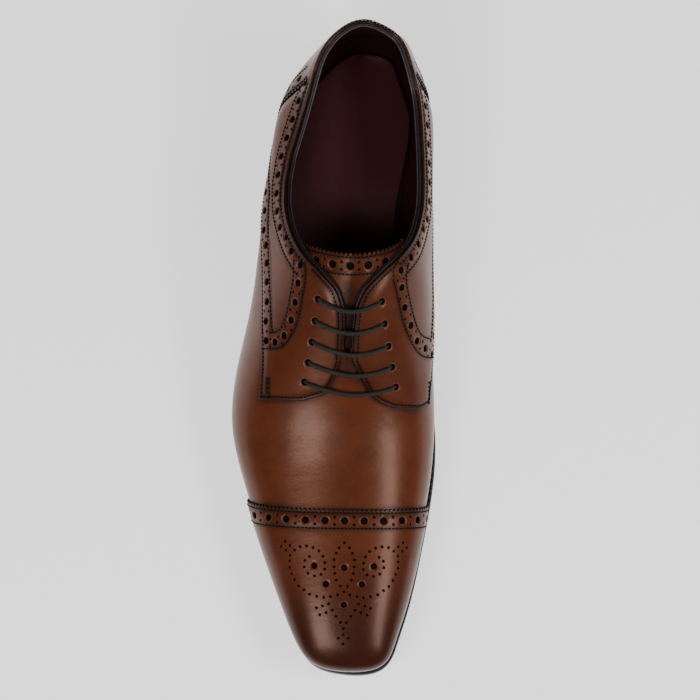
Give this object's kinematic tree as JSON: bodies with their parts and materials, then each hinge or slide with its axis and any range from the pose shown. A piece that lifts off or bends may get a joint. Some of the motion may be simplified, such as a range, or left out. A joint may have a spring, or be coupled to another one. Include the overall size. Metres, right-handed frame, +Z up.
{
  "type": "brogue shoe",
  "caption": "Right lace-up derby brogue in chestnut leather with a punched toe cap and medallion, long chiselled toe, leather sole and stacked heel",
  "frame": {"origin": "middle of the heel's resting face, on the ground", "axes": "+Z up, toe toward -Y, heel toward +Y, inner side of the foot toward +X"},
  "size_m": [0.1002, 0.3127, 0.0912],
  "materials": {
    "sole_leather": "smooth edge, matt underside",
    "welt_leather": "waxed",
    "heel_leather": "waxed",
    "heel_rubber": "matt",
    "sock_leather": "satin",
    "vamp_leather": "burnished, semi-gloss",
    "cap_leather": "burnished, glossy",
    "quarter_lateral_leather": "burnished, semi-gloss",
    "quarter_medial_leather": "burnished, semi-gloss",
    "counter_leather": "burnished, semi-gloss",
    "tongue_leather": "satin",
    "binding_leather": "satin",
    "lace_cord": "waxed cotton, matt"
  },
  "bodies": {
    "root": {"outsole": "sole_leather", "welt": "welt_leather", "heel_stack": "heel_leather", "heel_top_piece": "heel_rubber", "insole": "sock_leather", "upper": "vamp_leather", "toe_cap": "cap_leather", "quarter_lateral": "quarter_lateral_leather", "quarter_medial": "quarter_medial_leather", "counter": "counter_leather", "tongue": "tongue_leather", "collar_binding": "binding_leather", "lace_bar_1": "lace_cord", "lace_bar_2": "lace_cord", "lace_bar_3": "lace_cord", "lace_bar_4": "lace_cord", "lace_bar_5": "lace_cord"}
  },
  "joints": []
}
